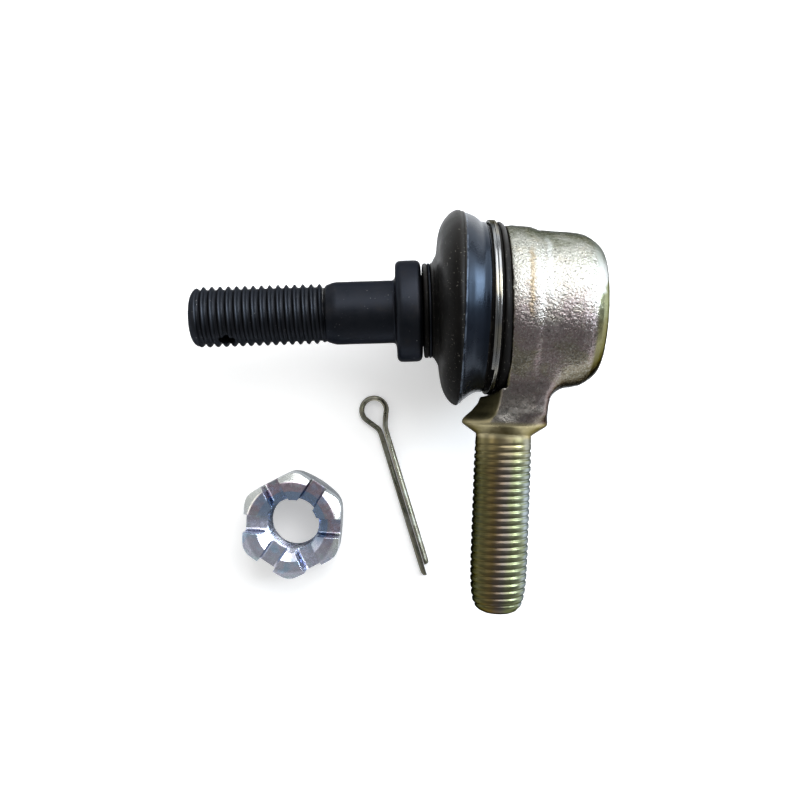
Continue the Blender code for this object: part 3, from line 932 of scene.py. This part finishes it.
    # Painted shade: darker where the surface turns away from straight up.
    colour = s.painted_side_shade(colour, 0.35)
    rough = s.between(s.noise(1.1, 2.0, 0.5), 0.3, 0.7, 0.18, 0.30)
    flank = s.times(s.minus(1.0, forged), s.between(y, -24.5, -22.5),
                    s.between(s.component(s.object_normal, 0), -0.2, -0.5))
    rough = s.math('MULTIPLY_ADD', flank, 0.25, rough)
    rough = s.plus(rough, s.between(y, -22.4, -24.0, 0.0, 0.10))
    neck = s.times(forged, s.between(y, -13.0, -17.0, 0.0, 0.03))
    rough = s.plus(rough, neck)
    return s.finish(colour=colour, rough=rough, metal=1.0, normal=normal, tint=DARK_EDGE)


def turned_zinc():
    """Yellow chromate on the pressed cover plate."""
    s = Shader("yellow_zinc_cover")
    tone = s.noise(0.25, 3.0, 0.55)
    colour = s.ramp(tone, [(0.3, (0.42, 0.38, 0.24)), (0.5, (0.52, 0.44, 0.28)),
                           (0.7, (0.46, 0.40, 0.40))])
    rings = s.noise(3.0, 1.0, 0.5)
    normal = s.bump(rings, 0.02, 0.4)
    return s.finish(colour=colour, rough=s.between(tone, 0.3, 0.7, 0.26, 0.40), metal=1.0, normal=normal)


def black_phosphate():
    """Oiled black phosphate, blue in the light, with brighter rubbed thread crests and a painted
    highlight along the thread roots.
    """
    s = Shader("black_phosphate_oiled")
    cloud = s.noise(0.35, 4.0, 0.6)
    colour = s.ramp(cloud, [(0.30, (0.0165, 0.0190, 0.0245)), (0.55, (0.0195, 0.0215, 0.0270)),
                            (0.75, (0.0240, 0.0245, 0.0280))])
    root = s.between(s.attribute("crest"), 0.38, 0.18)
    colour = s.mix(s.between(s.attribute("crest"), 0.0, 0.5), colour, (0.024, 0.0265, 0.032))
    # Painted highlight: the rolled roots are lighter, most along the side toward +Y
    slope = -STUD_AXIS.y / STUD_AXIS.x
    beside = s.math('MULTIPLY_ADD', s.component(s.place, 0), slope, s.component(s.place, 1))
    beside = s.minus(beside, (BALL.x * slope + BALL.y) / MM)
    on_thread = s.between(s.component(s.place, 0), BALL.x / MM - 36.0, BALL.x / MM - 37.0)
    uneven = s.between(s.noise(0.9, 3.0, 0.6), 0.40, 0.62, 0.35, 1.0)
    root_highlight = s.times(root, on_thread, uneven, s.between(beside, -2.0, 2.5, 0.12, 1.0))
    colour = s.mix(root_highlight, colour, (0.140, 0.138, 0.135))
    speck = s.between(s.noise(2.4, 1.0, 0.5, offset=(3.0, 1.0, 2.0)), 0.75, 0.80, 0.0, 0.5)
    colour = s.mix(speck, colour, (0.30, 0.30, 0.30))
    normal = s.bump(s.noise(4.0, 3.0, 0.6), 0.02, 0.4)
    rough = s.between(cloud, 0.3, 0.7, 0.40, 0.50)
    return s.finish(colour=colour, rough=rough, metal=1.0, normal=normal, tint=(0.42, 0.42, 0.42))


def boot_rubber(front):
    """Moulded rubber: dusty and slightly brown on the front, with painted light on its side toward +Y;
    smoother and bluer behind the rim, where a blue specular tint paints the reflections blue.
    """
    s = Shader("boot_rubber_front" if front else "boot_rubber_back")
    dust = s.noise(0.20, 4.0, 0.62)
    grain = s.noise(3.2, 3.0, 0.6)
    if front:
        colour = s.ramp(dust, [(0.36, (0.0024, 0.0023, 0.0022)), (0.56, (0.0038, 0.0034, 0.0031)),
                               (0.74, (0.0120, 0.0105, 0.0085))])
        speck = s.between(s.noise(2.4, 1.0, 0.5), 0.67, 0.74, 0.0, 0.8)
        speck = s.times(speck, s.between(dust, 0.34, 0.56))
        colour = s.mix(speck, colour, (0.09, 0.085, 0.075))
        # Painted light: the face turned toward +Y, where the key window stands, is lighter.
        facing_window = s.component(s.object_normal, 1)
        colour = s.mix(s.between(facing_window, 0.0, 0.9, 0.0, 0.5), colour, (0.020, 0.0185, 0.0165))
        rough = s.between(dust, 0.3, 0.75, 0.38, 0.55)
        rough = s.plus(rough, s.between(facing_window, 0.1, -0.7, 0.0, 0.28))
        return s.finish(colour=colour, rough=rough, metal=0.0, normal=s.bump(grain, 0.02, 0.35),
                        specular=0.07)
    colour = s.ramp(dust, [(0.35, (0.0022, 0.0028, 0.0048)), (0.70, (0.0034, 0.0042, 0.0068))])
    # The torn flash on the parting line is pale
    from_line = s.math('ABSOLUTE', s.plus(s.component(s.place, 0), 9.42 - BALL.x / MM))
    flash = s.between(s.noise(0.5, 3.0, 0.6), 0.42, 0.55, 0.1, 0.9)
    flash = s.times(flash, s.between(from_line, 0.20, 0.12))
    colour = s.mix(flash, colour, (0.045, 0.054, 0.070))
    rough = s.between(dust, 0.3, 0.75, 0.25, 0.33)
    # Painted reflection: this finish has a blue specular tint, so the reflections behind the rim come
    # out blue, as from a blue sky.
    return s.finish(colour=colour, rough=rough, metal=0.0, normal=s.bump(grain, 0.01, 0.3),
                    specular=0.27, tint=(0.50, 0.70, 1.0))


def bright_steel():
    """Drawn flat wire with fine lines along it, straw coloured in places."""
    s = Shader("bright_steel_wire")
    lines = s.noise(1.0, 2.0, 0.5, stretch=(6.0, 0.10, 0.10))
    warm = s.noise(0.12, 1.0, 0.5, offset=(2.0, 4.0, 0.0))
    colour = s.ramp(lines, [(0.35, (0.14, 0.145, 0.15)), (0.5, (0.20, 0.205, 0.21)),
                            (0.65, (0.29, 0.295, 0.30))])
    colour = s.mix(s.between(warm, 0.45, 0.6, 0.0, 0.6), colour, (0.30, 0.27, 0.20))
    normal = s.bump(lines, 0.02, 0.4)
    return s.finish(colour=colour, rough=s.between(lines, 0.3, 0.7, 0.16, 0.28), metal=1.0,
                    normal=normal, tint=DARK_EDGE)


def blue_zinc():
    """Bright blue-white zinc with violet and straw tints, and painted light and shade by side."""
    s = Shader("blue_white_zinc")
    tint = s.noise(0.26, 3.0, 0.55)
    low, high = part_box("castle_nut")
    middle = (low + high) / 2 / MM
    x, y, z = (s.minus(s.component(s.place, axis), middle[axis]) for axis in range(3))
    from_axis = s.math('SQRT', s.plus(s.times(x, x), s.times(y, y)))
    upper = s.ramp(tint, [(0.32, (0.36, 0.45, 0.62)), (0.46, (0.42, 0.42, 0.54)),
                          (0.56, (0.42, 0.34, 0.40)), (0.70, (0.40, 0.47, 0.52))])
    # Painted shade: the bore and its countersink are a darker blue.
    upper = s.mix(s.between(from_axis, 7.3, 7.1), upper, (0.26, 0.34, 0.48))
    # Painted highlight: the crown's chamfer is pale on this half.
    chamfer = s.between(s.component(s.object_normal, 2), 0.98, 0.90)
    chamfer = s.times(chamfer, s.between(from_axis, 8.6, 9.2))
    upper = s.mix(chamfer, upper, (0.64, 0.66, 0.64))
    lower = s.ramp(tint, [(0.32, (0.52, 0.68, 0.86)), (0.50, (0.66, 0.66, 0.78)),
                          (0.70, (0.64, 0.76, 0.80))])
    # Painted light: the half toward -Y takes the lighter, bluer copy of the colour as painted
    # reflection, the half toward +Y the darker one.
    along_light = s.math('MULTIPLY_ADD', x, 0.35, y)
    colour = s.mix(s.between(along_light, 2.0, -5.0), upper, lower)
    # Painted shade: the outer walls below the slots, at the foot of the nut, are darkened where they
    # turn away from straight up
    lower_wall_shade = s.painted_side_shade(colour, 0.25)
    colour = s.mix(s.between(z, 2.2, 1.2), colour, lower_wall_shade)
    marks = s.noise(0.9, 4.0, 0.6)
    fine = s.bump(s.noise(4.5, 2.0, 0.6), 0.01, 0.3, s.bevel(0.20))
    return s.finish(colour=colour, rough=s.between(marks, 0.3, 0.7, 0.20, 0.32), metal=1.0,
                    normal=s.bump(marks, 0.05, 0.35, fine), tint=(0.42, 0.45, 0.50))


def dull_zinc():
    """Dull zinc wire with an olive tint."""
    s = Shader("dull_zinc_wire")
    tone = s.noise(0.5, 3.0, 0.6)
    colour = s.ramp(tone, [(0.3, (0.15, 0.16, 0.12)), (0.5, (0.19, 0.18, 0.14)),
                           (0.75, (0.27, 0.28, 0.24))])
    # Painted shade: darker where the wire turns away from straight up.
    colour = s.painted_side_shade(colour, 0.35)
    normal = s.bump(s.noise(3.5, 3.0, 0.6), 0.02, 0.35)
    return s.finish(colour=colour, rough=s.between(tone, 0.3, 0.7, 0.24, 0.36), metal=1.0,
                    normal=normal, tint=DARK_EDGE)


def acetal():
    """Natural bearing plastic with a film of grease."""
    s = Shader("acetal_bearing")
    tone = s.noise(0.3, 3.0, 0.5)
    colour = s.ramp(tone, [(0.3, (0.70, 0.68, 0.60)), (0.7, (0.80, 0.78, 0.72))])
    normal = s.bump(s.noise(2.5, 2.0, 0.5), 0.01, 0.3)
    return s.finish(colour=colour, rough=s.between(tone, 0.3, 0.7, 0.30, 0.45), metal=0.0, normal=normal)


def spring_steel():
    """Tempered spring steel with straw and blue heat tints."""
    s = Shader("spring_steel_tempered")
    tone = s.noise(0.4, 3.0, 0.5)
    colour = s.ramp(tone, [(0.3, (0.20, 0.20, 0.24)), (0.55, (0.32, 0.30, 0.28)),
                           (0.75, (0.40, 0.36, 0.28))])
    normal = s.bump(s.noise(3.0, 2.0, 0.5), 0.01, 0.3)
    return s.finish(colour=colour, rough=0.34, metal=1.0, normal=normal)


def light_table():
    """White acrylic sheet, faintly lit from below, so that the shadows stay pale."""
    s = Shader("pale_light_table")
    tone = s.noise(0.02, 2.0, 0.5)
    colour = s.ramp(tone, [(0.3, (0.86, 0.86, 0.86)), (0.7, (0.88, 0.88, 0.88))])
    return s.finish(colour=colour, rough=0.9, metal=0.0, specular=0.0, glow=(1.0, 1.0, 1.0),
                    glow_power=0.40)


# ---------------------------------------------------------------- camera, floor and light

def build_camera():
    """Straight above the part, near enough for the perspective to show."""
    data = bpy.data.cameras.new("view_camera")
    data.lens = 45.0
    data.sensor_width = 36.0
    data.clip_start = 0.01
    camera = new_object("view_camera", data)
    camera.location = BALL + Vector((-20.9, -19.1, 200.0)) * MM
    camera.rotation_euler = (0.0, 0.0, math.radians(2.1))
    bpy.context.scene.camera = camera


def build_floor():
    shape = bmesh.new()
    bmesh.ops.create_grid(shape, x_segments=8, y_segments=8, size=1.5)
    mesh = bpy.data.meshes.new("floor")
    shape.to_mesh(mesh)
    shape.free()
    floor = new_object("floor", mesh)
    floor.location = (BALL.x, 0.0, FLOOR_Z - 0.00002)
    mesh.materials.append(light_table())


def softbox(name, place, size, radiance, colour=(1.0, 1.0, 1.0)):
    """An area light that faces the part. The place is in metres from the ball centre."""
    data = bpy.data.lights.new(name, 'AREA')
    data.shape = 'RECTANGLE'
    data.size, data.size_y = size
    data.energy = radiance * math.pi * size[0] * size[1]
    data.color = colour
    light = new_object(name, data)
    light.location = BALL + Vector(place)
    light.rotation_euler = (-Vector(place)).to_track_quat('-Z', 'Y').to_euler()
    return light


def build_light():
    """Dim room, brighter low down toward +Y, with a big soft window there and two side panels."""
    world = bpy.data.worlds.new("studio")
    world.use_nodes = True
    tree = world.node_tree
    direction = tree.nodes.new("ShaderNodeTexCoord")
    parts = tree.nodes.new("ShaderNodeSeparateXYZ")
    tree.links.new(direction.outputs["Generated"], parts.inputs[0])

    def ranged(axis, low, high, out_low, out_high):
        node = map_range(tree, low, high, out_low, out_high)
        tree.links.new(parts.outputs[axis], node.inputs["Value"])
        return node.outputs[0]

    strength = tree.nodes.new("ShaderNodeMath")
    strength.operation = 'MULTIPLY_ADD'
    tree.links.new(ranged(2, 0.05, 0.90, 1.0, 0.0), strength.inputs[0])
    tree.links.new(ranged(1, -0.3, 0.9, 0.14, 0.75), strength.inputs[1])
    strength.inputs[2].default_value = 0.31
    background = tree.nodes["Background"]
    background.inputs["Color"].default_value = (0.97, 0.99, 1.0, 1.0)
    tree.links.new(strength.outputs[0], background.inputs["Strength"])
    bpy.context.scene.world = world
    softbox("key_window", (0.17, 0.35, 0.39), (0.60, 0.64), 4.2, (0.985, 0.99, 1.0))
    softbox("left_panel", (-0.42, 0.05, 0.32), (0.26, 0.20), 1.5, (1.0, 0.94, 0.84))
    softbox("right_panel", (0.45, 0.18, 0.21), (0.22, 0.18), 27.0, (0.80, 0.90, 1.0))
    bpy.context.scene.view_settings.view_transform = 'Standard'


# ---------------------------------------------------------------- assembly

def dress(piece, material, body, slot, *nodes):
    """Gives a piece its finish, the body that it rides on and the CAD nodes that it stands for."""
    piece.data.materials.clear()
    piece.data.materials.append(material)
    if body:
        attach(piece, body)
    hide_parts(*nodes)
    return piece


def repaint(node, material):
    """Keeps a CAD node and gives it a better finish."""
    item = frame["nodes"][node]
    item.data.materials.clear()
    item.data.materials.append(material)


build_camera()
build_floor()
build_light()

dress(build_housing(), yellow_zinc(), "housing_body", "yellow_zinc", "housing")
dress(build_cover(), turned_zinc(), "housing_body", "yellow_zinc", "cover_plate")
dress(build_clamp_ring(), bright_steel(), "housing_body", "bright_steel", "boot_clamp_ring")
dress(build_stud(), black_phosphate(), "stud_body", "black_phosphate", "ball_stud")
dress(build_neck_ring(), black_phosphate(), "neck_ring_body", "black_phosphate", "boot_neck_ring")
dress(build_nut(), blue_zinc(), "nut_body", "blue_zinc", "castle_nut")
dress(build_pin(), dull_zinc(), "pin_body", "dull_zinc", "cotter_pin")

boot = dress(build_boot(), boot_rubber(front=True), None, "boot_rubber", "boot")
boot.data.materials.append(boot_rubber(front=False))
for face in boot.data.polygons:
    # The mould's parting line, just behind the rim, divides the dusty front from the smooth back
    face.material_index = int(-9.6 < (face.center.x - BALL.x) / MM < -4.8)
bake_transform(boot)

plastic = acetal()
repaint("ball_seat", plastic)
repaint("pressure_pad", plastic)
repaint("preload_spring", spring_steel())
